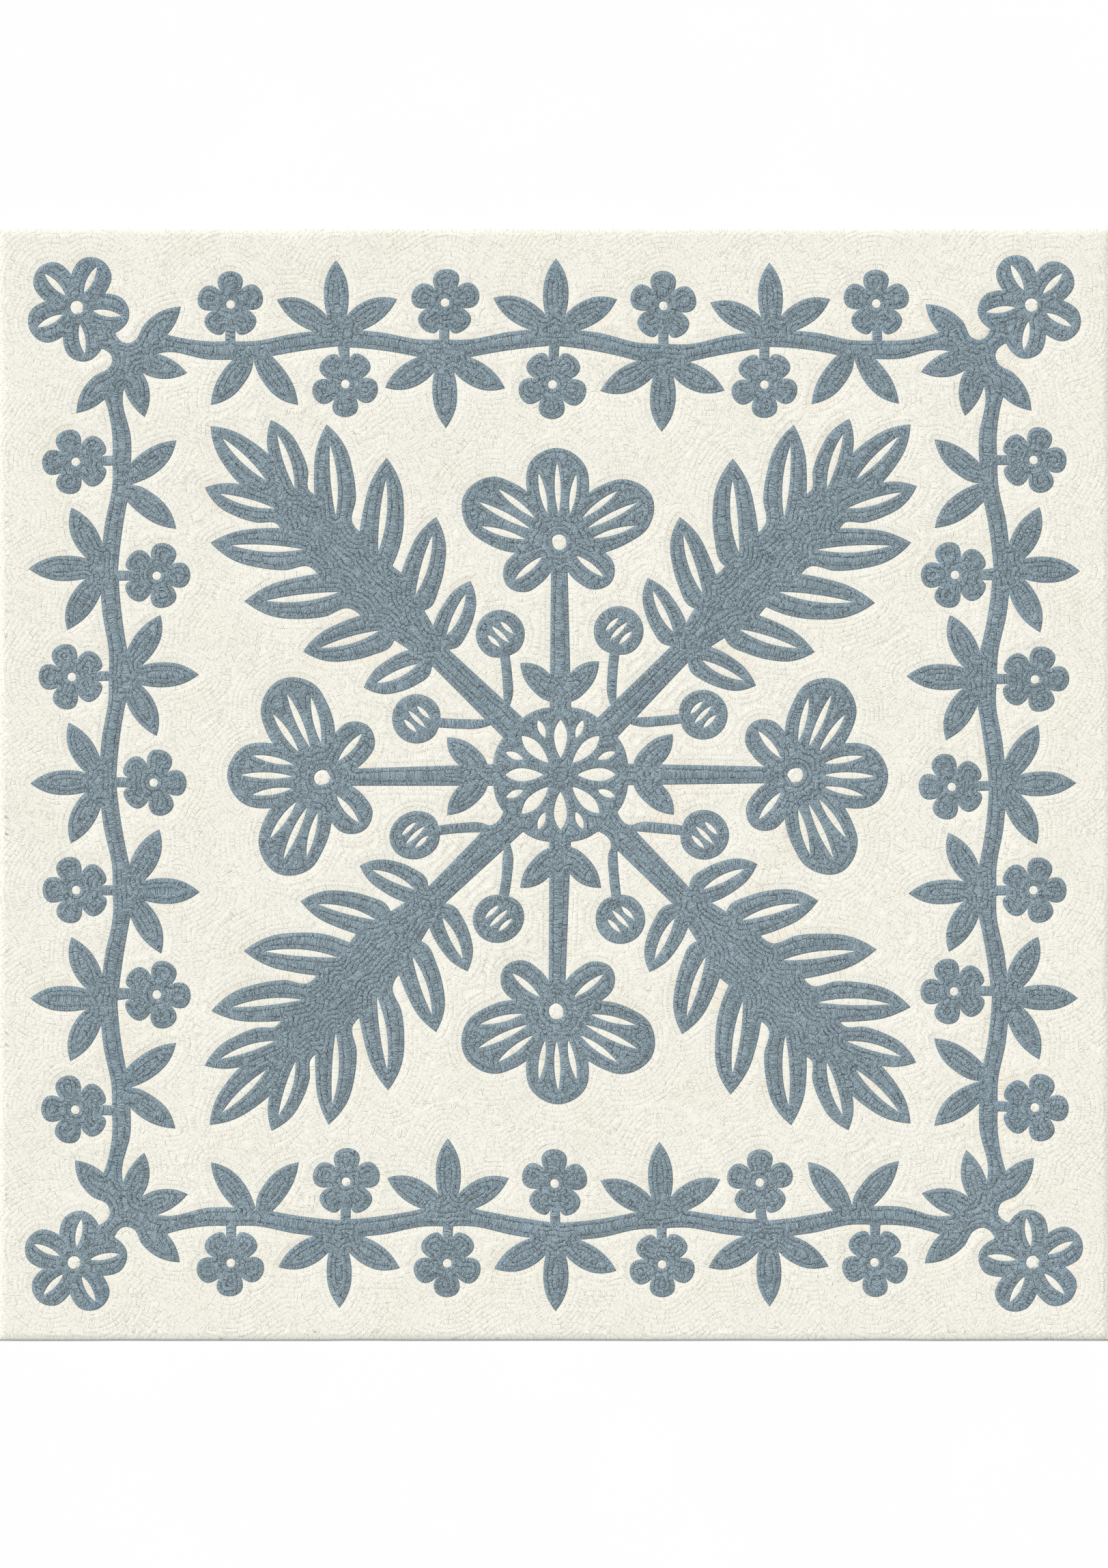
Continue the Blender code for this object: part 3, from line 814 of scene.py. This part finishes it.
@dataclass(frozen=True)
class Creases:
    """One kind of short straight creases: one in each cell of a grid, with a puff from each to the next.

    Attributes:
        apart: How many there are side by side in a pucker, or in a row's width if they run along the rows.
        end_to_end: How many there are end to end in a row's width, or in a pucker if they run along them.
        depth: The depth of the deepest, 0 to 1.
        shallowest: The depth of the shallowest, as a share of that.
        shift: How far a crease may lie from its cell's middle line, from side to side, in cells.
        slant: How much further over it may be at its other end, in cells.
        width: Half its width, in cells.
        shortest: Half the length of the shortest, in cells.
        longest: Half the length of the longest, in cells: a little more than its whole cell.
        fade: How long a crease takes to end, in cells.
        start: Where the grid starts, in cells.
        along_rows: Whether they run along the rows and not across them.
    """

    apart: float
    end_to_end: float
    depth: float
    shallowest: float = 0.0
    shift: float = 0.5
    slant: float = 1.0
    width: float = 0.4
    shortest: float = 0.2
    longest: float = 0.55
    fade: float = 0.1
    start: Span = (0.0, 0.0)
    along_rows: bool = False

    def folds(self, tree: Nodes, u: Socket, v: Socket) -> Socket:
        """Adds the creases.

        Args:
            tree: The material's nodes.
            u: The place along the rows, in puckers.
            v: The place across them, in rows.

        Returns:
            How deep the cloth is folded in.
        """
        beside, along = (v, u) if self.along_rows else (u, v)
        beside = beside * self.apart + self.start[0]
        along = along * self.end_to_end + self.start[1]
        placed, turned, luck = tree.chances(beside.floor(), along.floor())
        run = along.fraction() - 0.5
        line = (placed - 0.5) * self.shift + (turned - 0.5) * self.slant * run
        away = abs(beside.fraction() - 0.5 - line)
        near = (1.0 - away * (1 / self.width)).larger(0.0)
        past_end = abs(run) - luck * (self.longest - self.shortest) - self.shortest
        deep = (luck * luck * (1 - self.shallowest) + self.shallowest) * self.depth
        return near * near * past_end.ramp(-self.fade, 0.0, 1.0, 0.0) * deep


@dataclass(frozen=True)
class QuiltedCotton:
    """Plain-woven cotton, puckered by hand quilting.

    A scale is that of a noise, in waves a metre. A pair named _at holds the noise's values at which its mark
    starts to show and shows in full.

    Attributes:
        name: The material's name.
        crest: The lighter colour of the cloth.
        body: The darker one.
        crease: The colour of the shade that is painted into the creases and between the threads.
        edge: The colour that shows here and there beside a cut edge: partly the cloth's own fading, partly
        painted light on the blue's puffed rims and painted shade on the cream beside them.
        edge_share: How much of that colour shows there.
        speck: The colour of small specks.
        speck_share: How much of that colour shows in them.
        creases: The creases, each kind of them.
        wander: How far the creases wander, as a share of a pucker or a row.
        crumple: How high the cloth's own unevenness is, as a share of the relief.
        shade: How much painted shade darkens the cloth in its folds.
        shade_from: The depth at which that starts, 0 to 1.
        shade_full: The depth at which it is full.
        row_puff: How high the cloth puffs between two rows, as a share of the relief.
        relief: The height of the fine relief, in metres.
        thread: The colour of the quilting stitches.
        thread_pitch: The distance between the weave's threads, in metres.
        weave_shade: How dark the shade is that is painted into the gaps between the threads.
        weave_height: How proud the threads are, as a share of the relief.
        first_row: How far from a cut edge the rows start, and are full, in rows.
        wander_scales: The scales of the wandering along a row, and across the rows.
        crumple_scale: The scale of the unevenness.
        cloud_scale: The scale of the soft changes between the two colours of the cloth.
        cloud_at: When they show.
        edge_reach: How far from a cut edge its colour starts to fade, and is gone, in rows.
        edge_scale: The scale of its patches.
        edge_at: When they show.
        speck_scale: The scale of the specks.
        speck_at: When they show.
        stitches: How many stitches there are to a pucker.
        stitch_gap: Where in its own length a stitch comes up through the cloth, and is up.
        stitch_width: Half a stitch's width, where it starts to sink in, and where it is gone, in rows.
        stitch_height: How proud it is, as a share of the relief.
        stitch_share: How much of the thread's colour shows.
        roughness: How matt the cloth is, 0 to 1.
        sheen: How much its fibres catch light from the side, 0 to 1.
    """

    name: str
    crest: Colour
    body: Colour
    crease: Colour
    edge: Colour
    edge_share: float
    speck: Colour
    speck_share: float
    creases: tuple[Creases, ...]
    wander: float
    crumple: float
    shade: float
    shade_from: float
    shade_full: float
    row_puff: float
    relief: float
    thread: Colour
    thread_pitch: float = 0.0007
    weave_shade: float = 0.12
    weave_height: float = 0.04
    first_row: Span = (0.45, 0.8)
    wander_scales: tuple[Span, Span] = ((300.0, 110.0), (60.0, 230.0))
    crumple_scale: float = 390.0
    cloud_scale: float = 8.0
    cloud_at: Span = (-0.28, 0.28)
    edge_reach: Span = (0.4, 1.8)
    edge_scale: float = 6.5
    edge_at: Span = (0.04, 0.2)
    speck_scale: float = 500.0
    speck_at: Span = (0.2, 0.27)
    stitches: float = 4.0
    stitch_gap: Span = (0.4, 0.5)
    stitch_width: Span = (0.012, 0.035)
    stitch_height: float = 0.3
    stitch_share: float = 0.7
    roughness: float = 0.93
    sheen: float = 0.1

    def _tinted(self, tree: Nodes, place: Socket, across: Socket) -> Socket:
        """The cloth's colour under the painted shade: soft changes of tone, specks, and patches beside the
        cut edges, which are partly the cloth's fading and partly painted light and painted shade.
        """
        cloud = tree.cloudy(place, self.cloud_scale, 3.0).ramp(*self.cloud_at)
        bare = tree.mixed(cloud, linear(self.body), linear(self.crest))
        patches = tree.cloudy(place, self.edge_scale, 1.0).ramp(*self.edge_at)
        # Patches beside the cut edges: partly the cloth's fading, partly painted light on the blue's rims
        # and painted shade on the cream.
        beside = across.ramp(*self.edge_reach, self.edge_share, 0.0) * patches
        specks = tree.cloudy(place, self.speck_scale, 1.0).ramp(*self.speck_at) * self.speck_share
        return tree.mixed(specks, tree.mixed(beside, bare, linear(self.edge)), linear(self.speck))

    def _weave(self, tree: Nodes, place: Socket) -> Socket:
        """The height of the weave: 1 on a thread, 0 between two."""
        inputs = {0: place, "Scale": 1 / self.thread_pitch}
        over, under = tree.parts(tree.node("ShaderNodeVectorMath", {"operation": "SCALE"}, inputs), "XY")
        return over.to_whole() * under.to_whole() * 4.0

    def material(self) -> bpy.types.Material:
        """Makes the finish."""
        tree = Nodes.new(self.name)
        place = tree.node("ShaderNodeTexCoord", {}, {}, "Object")
        along, across = tree.parts(tree.node("ShaderNodeUVMap", {"uv_map": ROWS_UV}, {}), "XY")
        inland = across.ramp(*self.first_row)
        sways = [[tree.cloudy(place, scale, 1.0) for scale in scales] for scales in self.wander_scales]
        u = along + sways[0][0] * self.wander + sways[0][1] * self.wander
        v = across + (sways[1][0] + sways[1][1]) * inland * (self.wander * 0.5)
        folds = 0.0
        for kind in self.creases:
            fold = kind.folds(tree, u, v) * (inland if kind.along_rows else 1.0)
            folds = fold.larger(folds)
        stitch = v.to_whole().ramp(*self.stitch_width, 1.0, 0.0)
        stitch = stitch * (u * self.stitches).fraction().ramp(*self.stitch_gap) * inland
        weave = self._weave(tree, place)
        # Painted shade: the crease colour darkens the cloth where it folds in.
        shaded = folds.ramp(self.shade_from, self.shade_full) * self.shade
        colour = tree.mixed(shaded, self._tinted(tree, place, across), linear(self.crease))
        colour = tree.mixed(stitch * self.stitch_share, colour, linear(self.thread))
        # Painted shade between the threads of the weave, in the crease colour.
        colour = tree.mixed(weave.ramp(0.0, 0.5, self.weave_shade, 0.0), colour, linear(self.crease))
        valley = 1.0 - v.to_whole() * 2.0
        crown = (1.0 - valley * valley) * inland
        height = tree.cloudy(place, self.crumple_scale, 2.0, 0.6) * self.crumple - folds
        height = height + weave * self.weave_height + stitch * self.stitch_height + crown * self.row_puff
        bump = {"Height": height, "Distance": self.relief, "Strength": 1.0}
        normal = tree.node("ShaderNodeBump", {}, bump)
        nap = {"Roughness": self.roughness, "Sheen Weight": self.sheen}
        shader = tree.node("ShaderNodeBsdfPrincipled", {}, {"Base Color": colour, "Normal": normal, **nap})
        tree.node("ShaderNodeOutputMaterial", {}, {"Surface": shader})
        return tree.material


# The creases that follow a row of stitches. Half a cell over, each has the stitches in its middle.
ROW_LINE = Creases(1.0, 0.8, 0.9, shortest=0.5, start=(0.5, 0.0), along_rows=True)
BLUE_COTTON = QuiltedCotton(
    name="blue_cotton_cloth",
    crest=(164, 183, 193),
    body=(153, 173, 182),
    # The crease colour is the shade painted into the folds and between the threads.
    crease=(44, 58, 68),
    # The edge colour is partly fading, partly painted light on the puffed rims.
    edge=(152, 179, 197),
    edge_share=0.6,
    speck=(190, 200, 204),
    speck_share=0.3,
    creases=(
        replace(ROW_LINE, end_to_end=1.7, depth=1.3, shallowest=0.55, shift=0.27, slant=0.6, width=0.14),
        Creases(1.6, 1.1, 1.0, shallowest=0.05, slant=0.9, width=0.2, shortest=0.22),
        Creases(2.7, 1.6, 0.95, shallowest=0.2, slant=1.2, width=0.26, start=(0.3, 0.4)),
        Creases(4.1, 2.3, 0.7, shallowest=0.2, slant=1.8, width=0.36, start=(0.7, 0.1)),
    ),
    wander=0.38,
    crumple=0.8,
    shade=0.85,
    shade_from=0.25,
    shade_full=0.8,
    row_puff=0.22,
    relief=0.0026,
    thread=(168, 182, 188),
)
CENTRE_COTTON = replace(BLUE_COTTON, name="blue_cotton_centre", edge_share=0.1)
CREAM_COTTON = QuiltedCotton(
    name="cream_cotton_cloth",
    crest=(250, 248, 237),
    body=(246, 244, 231),
    # The crease colour is the shade painted into the folds and between the threads.
    crease=(174, 165, 144),
    # The edge colour is partly the cloth's tint, partly painted shade beside the blue cloth.
    edge=(243, 234, 217),
    edge_share=0.5,
    speck=(222, 200, 160),
    speck_share=0.35,
    creases=(
        replace(ROW_LINE, shallowest=0.1, shift=0.16, slant=0.4, width=0.1, shortest=0.3),
        Creases(1.2, 0.8, 1.0, slant=0.9, width=0.12, shortest=0.25),
        Creases(1.9, 1.1, 0.9, slant=1.5, width=0.15, shortest=0.3, start=(0.3, 0.4)),
        Creases(3.3, 1.7, 0.7, slant=2.2, width=0.22, start=(0.7, 0.1)),
    ),
    wander=0.35,
    crumple=0.6,
    shade=0.7,
    shade_from=0.25,
    shade_full=0.85,
    row_puff=0.28,
    relief=0.0006,
    thread=(250, 249, 240),
    weave_shade=0.06,
)


# The quilt


@dataclass
class CutCloth:
    """A blue cloth, cut out and needle-turned onto the ground, and quilted through.

    Attributes:
        name: The piece's name.
        node: The frame's node that it stands for.
        flat: The strip or square that it is cut from; not used.
        seed: Its own random draws.
        edge_step: The distance between points along its edge.
        row_step: The distance between points along a row.
        turn: The rolled edge in section: how far in, and how much of the way up.
        under_height: How high the cloth's flat underside is, just above the ground.
        edge_height: How high its turned edge starts to roll.
        valley_height: How high its stitched valleys are.
        puff_height: How far its crests are above them.
        full_inside: How far from its edge the cloth has its full puffs.
        edge_puff: What its puffs have of their height at the edge itself, as a share.
        puckered: How much lower a crest is in a cross crease, as a share.
        uneven: How much the puffs differ, as a share.
        uneven_over: The distance over which they do.
        outlines: Its cut edges, once they are read.
    """

    name: str
    node: str
    flat: Span
    seed: int
    edge_step: float = 0.0040
    row_step: float = 0.0048
    turn: tuple[Span, ...] = ((0.0, 0.0), (0.0005, 0.62), (0.0016, 1.0))
    under_height: float = 0.0049
    edge_height: float = 0.00525
    valley_height: float = 0.0054
    puff_height: float = 0.0018
    full_inside: float = 0.008
    edge_puff: float = 0.3
    puckered: float = 0.2
    uneven: float = 0.12
    uneven_over: float = 0.02
    outlines: list[Array] = field(init=False)

    def read(self, frame_nodes: dict[str, bpy.types.Object]) -> None:
        """Reads the outlines from the frame."""
        self.outlines = [smoothed(loop, self.edge_step) for loop in top_loops(frame_nodes[self.node])]

    def heights(self, lie: Lie) -> Array:
        """Works out the top's heights: rolled down at its edge, puffed and puckered between the stitches."""
        inside = np.clip(lie.depth / self.full_inside, 0, 1)
        crown = lie.puff * (1 - self.puckered + self.puckered * lie.pucker)
        crown = crown * (1 + self.uneven * SoftNoise(self.uneven_over, self.seed).at(lie.points))
        fullness = self.edge_puff + (1 - self.edge_puff) * inside
        top = self.valley_height + self.puff_height * crown * fullness
        reaches, shares = zip(*self.turn)
        rolled = np.interp(lie.depth, reaches, shares)
        lifted = LIE_HEIGHT * LIE_OF_THE_QUILT.at(lie.points)
        return self.edge_height + (top - self.edge_height) * rolled + lifted

    def build(self, echo: EchoField, finish: bpy.types.Material) -> bpy.types.Object:
        """Makes the cloth as a closed sheet."""
        lines = echo.rows(Side.BLUE, self.row_step)
        for reach, _ in self.turn[1:]:
            lines += echo.lines_at(reach, Side.BLUE, LineKind.EDGE, self.row_step)
        lie = Lie.between(self.outlines, lines, echo, self.seed)
        mesh = lie.to_mesh(self.heights(lie))
        rim = extruded_rim(mesh, open_edges(mesh))
        drop = self.under_height - self.edge_height
        under = list({vert for edge in rim for vert in edge.verts})
        bmesh.ops.translate(mesh, verts=under, vec=(0, 0, drop))
        bmesh.ops.triangle_fill(mesh, edges=rim, normal=(0, 0, -1))
        piece = finished(self.name, mesh, finish)
        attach(piece, "root")
        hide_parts(self.node)
        area = sum(signed_area(loop) for loop in self.outlines)
        LOG.info("%s: %d triangles", self.name, len(piece.data.loops) - 2 * len(piece.data.polygons))
        return piece


@dataclass
class QuiltedGround:
    """The cream cloth with its wadding and back: one quilted layer with a turned edge all round.

    Attributes:
        side: The side of the square.
        row_step: The distance between points along a row.
        stitched_height: How high the stitched valleys are.
        puff_height: How far the crests are above them.
        edge_height: How high the ground is beside the blue cloth.
        flat_beside: How far from the blue cloth it stays flat.
        rises_over: How much further it is to the full puffs.
        uneven: How much the puffs differ, as a share.
        uneven_over: The distance over which they do.
        hidden_height: How high the ground is under the blue cloth.
        hidden_from: How far under its edge that starts.
        hidden_line: How far under its edge the line runs that keeps the ground down.
        hidden_step: The distance between the points of that line.
        edge_inset: How far inside the quilt's edge the roll starts.
        edge_step: The distance between points along the roll.
        edge_lines: How far inside the roll's start there are lines for the slope down to it.
        soft_edge: How far inside the roll's start the top begins to slope down.
        roll_height: How high the roll starts.
        roll: The turned edge in section, from the top round to the back: how far out, and how high.
        wavering: How much less far out the roll may be, as a share.
        wavering_over: The distance over which that changes.
        seed: Its own random draws.
        wavering_seed: Those of its rolled edge.
    """

    side: float
    row_step: float = 0.0102
    stitched_height: float = 0.0052
    puff_height: float = 0.0007
    edge_height: float = 0.0051
    flat_beside: float = 0.004
    rises_over: float = 0.010
    uneven: float = 0.06
    uneven_over: float = 0.03
    hidden_height: float = 0.0045
    hidden_from: float = 0.0018
    hidden_line: float = 0.003
    hidden_step: float = 0.02
    edge_inset: float = 0.0035
    edge_step: float = 0.010
    edge_lines: tuple[float, ...] = (0.0025, 0.006, 0.010)
    soft_edge: float = 0.012
    roll_height: float = 0.0040
    roll: tuple[Span, ...] = (
        (0.0020, 0.0034),
        (0.0031, 0.0027),
        (0.0035, 0.0021),
        (0.0029, 0.0018),
        (0.0034, 0.0014),
        (0.0028, 0.0006),
        (0.0012, 0.0),
    )
    wavering: float = 0.14
    wavering_over: float = 0.09
    seed: int = 3
    wavering_seed: int = 21

    def heights(self, lie: Lie, echo: EchoField) -> Array:
        """Works out how high the top lies: puffed between rows, hidden under the blue, lower at the rim."""
        crown = lie.puff * (1 + self.uneven * SoftNoise(self.uneven_over, self.seed).at(lie.points))
        beside = np.clip((lie.depth - self.flat_beside) / self.rises_over, 0, 1)
        rise = self.stitched_height - self.edge_height + self.puff_height * crown
        top = self.edge_height + rise * beside
        top[echo.read(echo.grid, lie.points) > self.hidden_from] = self.hidden_height
        inland = self.side / 2 - self.edge_inset - np.abs(lie.points).max(axis=1)
        drop = np.clip(1 - inland / self.soft_edge, 0, 1) ** 2
        lifted = LIE_HEIGHT * LIE_OF_THE_QUILT.at(lie.points)
        return top + (self.roll_height - top) * drop + lifted * (1 - drop)

    def _square(self, inset: float, step: float) -> RowLine:
        """A square line inside the quilt's edge."""
        half = self.side / 2 - inset
        corners = np.array([(-half, -half), (half, -half), (half, half), (-half, half)])
        count = round(2 * half / step)
        ends = zip(corners, np.roll(corners, -1, axis=0))
        sides = [np.linspace(start, end, count, endpoint=False) for start, end in ends]
        return RowLine(np.concatenate(sides), True, LineKind.EDGE)

    def build(self, echo: EchoField, outlines: list[Array], finish: bpy.types.Material) -> bpy.types.Object:
        """Makes the ground as one closed body."""
        lines = echo.rows(Side.GROUND, self.row_step)
        lines += echo.lines_at(self.hidden_line, Side.BLUE, LineKind.EDGE, self.hidden_step)
        lines += [RowLine(loop, True, LineKind.EDGE) for loop in outlines]
        lines += [self._square(self.edge_inset + inward, self.row_step) for inward in self.edge_lines]
        lie = Lie.between([self._square(self.edge_inset, self.edge_step).points], lines, echo, self.seed)
        mesh = lie.to_mesh(self.heights(lie, echo))
        self._close(mesh)
        piece = finished("quilted_ground", mesh, finish)
        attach(piece, "root")
        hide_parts("quilt_body")
        LOG.info("%s: %d triangles", piece.name, len(piece.data.loops) - 2 * len(piece.data.polygons))
        return piece

    def _close(self, mesh: bmesh.types.BMesh) -> None:
        """Rolls the edge over in rings, with the turned cloths' seam half way down, and closes the back."""
        rim = open_edges(mesh)
        half = self.side / 2 - self.edge_inset
        waves = SoftNoise(self.wavering_over, self.wavering_seed)
        for reach, height in self.roll:
            rim = extruded_rim(mesh, rim)
            verts = list({vert for edge in rim for vert in edge.verts})
            base = np.array([vert.co.xy / max(abs(vert.co.x), abs(vert.co.y)) * half for vert in verts])
            outward = 1 + reach / half * (1 - self.wavering + self.wavering * waves.at(base))
            for vert, place in zip(verts, base * outward[:, None]):
                vert.co = (*place, height)
        bmesh.ops.contextual_create(mesh, geom=rim)


@dataclass
class Studio:
    """A plain pale floor, soft light from the upper left, and a camera straight above.

    Attributes:
        view_width: How much of the floor the photograph's width shows.
        camera_height: How far above the floor the camera is.
        sky_strength: The brightness of the even light from all round.
        key_strength: The brightness of the light from the upper left.
        key_angle: How wide that light looks, which sets how soft its shadows are.
        key_direction: Where it comes from.
        floor_size: Half the floor's side.
        floor_tones: The floor's two tones.
        floor_grain: The scale of the noise between them, in waves a metre.
    """

    view_width: float
    camera_height: float = 12.0
    sky_strength: float = 0.36
    key_strength: float = 3.7
    key_angle: float = math.radians(10)
    key_direction: tuple[float, float, float] = (-0.62, 0.66, 0.60)
    floor_size: float = 20.0
    floor_tones: tuple[Colour, Colour] = ((252, 252, 252), (254, 254, 254))
    floor_grain: float = 3.0

    def build(self) -> None:
        """Makes the floor, the light and the camera."""
        self._floor()
        self._light()
        self._camera()
        bpy.context.scene.view_settings.view_transform = "Standard"

    def _floor(self) -> None:
        """Makes the floor."""
        tree = Nodes.new("floor_paint")
        grain = tree.cloudy(tree.node("ShaderNodeTexCoord", {}, {}, "Object"), self.floor_grain)
        paint = tree.mixed(grain + 0.5, *map(linear, self.floor_tones))
        shader = tree.node("ShaderNodeBsdfPrincipled", {}, {"Base Color": paint, "Roughness": 1.0})
        tree.node("ShaderNodeOutputMaterial", {}, {"Surface": shader})
        mesh = bmesh.new()
        bmesh.ops.create_grid(mesh, x_segments=1, y_segments=1, size=self.floor_size)
        finished("floor", mesh, tree.material)

    def _light(self) -> None:
        """Makes a soft sky and a low soft key light from the upper left."""
        world = bpy.data.worlds.new("sky")
        world.use_nodes = True
        world.node_tree.nodes["Background"].inputs["Color"].default_value = (1, 1, 1, 1)
        world.node_tree.nodes["Background"].inputs["Strength"].default_value = self.sky_strength
        bpy.context.scene.world = world
        sun = bpy.data.lights.new("key", "SUN")
        sun.energy = self.key_strength
        sun.angle = self.key_angle
        key = bpy.data.objects.new("key", sun)
        key.rotation_euler = Vector(self.key_direction).to_track_quat("Z", "Y").to_euler()
        bpy.context.scene.collection.objects.link(key)

    def _camera(self) -> None:
        """Makes the camera: the sensor's long side is the photograph's height."""
        lens = bpy.data.cameras.new("camera")
        view_height = self.view_width * FRAME_HEIGHT / FRAME_WIDTH
        lens.lens = lens.sensor_width * self.camera_height / view_height
        lens.clip_end = 100
        camera = bpy.data.objects.new("camera", lens)
        camera.location = (0, 0, self.camera_height)
        bpy.context.scene.collection.objects.link(camera)
        bpy.context.scene.camera = camera


def main() -> None:
    """Builds the quilt round its frame."""
    logging.basicConfig(level=logging.INFO, format="%(name)s: %(message)s")
    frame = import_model()
    low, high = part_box("quilt_body")
    side = high.x - low.x
    centre = CutCloth("centre_medallion", "centre_applique", flat=(1.36, 1.36), seed=1)
    border = CutCloth("vine_border", "border_applique", flat=(0.34, 6.6), seed=2)
    for cloth in (centre, border):
        cloth.read(frame["nodes"])
    cut_edges = centre.outlines + border.outlines
    echo = EchoField(cut_edges, half=side / 2 + FIELD_MARGIN)
    LOG.info("echo field: %d cells a side, %.0f mm deep", len(echo.grid), echo.grid.max() * 1000)
    QuiltedGround(side).build(echo, cut_edges, CREAM_COTTON.material())
    centre.build(echo, CENTRE_COTTON.material())
    border.build(echo, BLUE_COTTON.material())
    Studio(view_width=side - CROPPED_WIDTH).build()


if __name__ == "__main__":
    main()
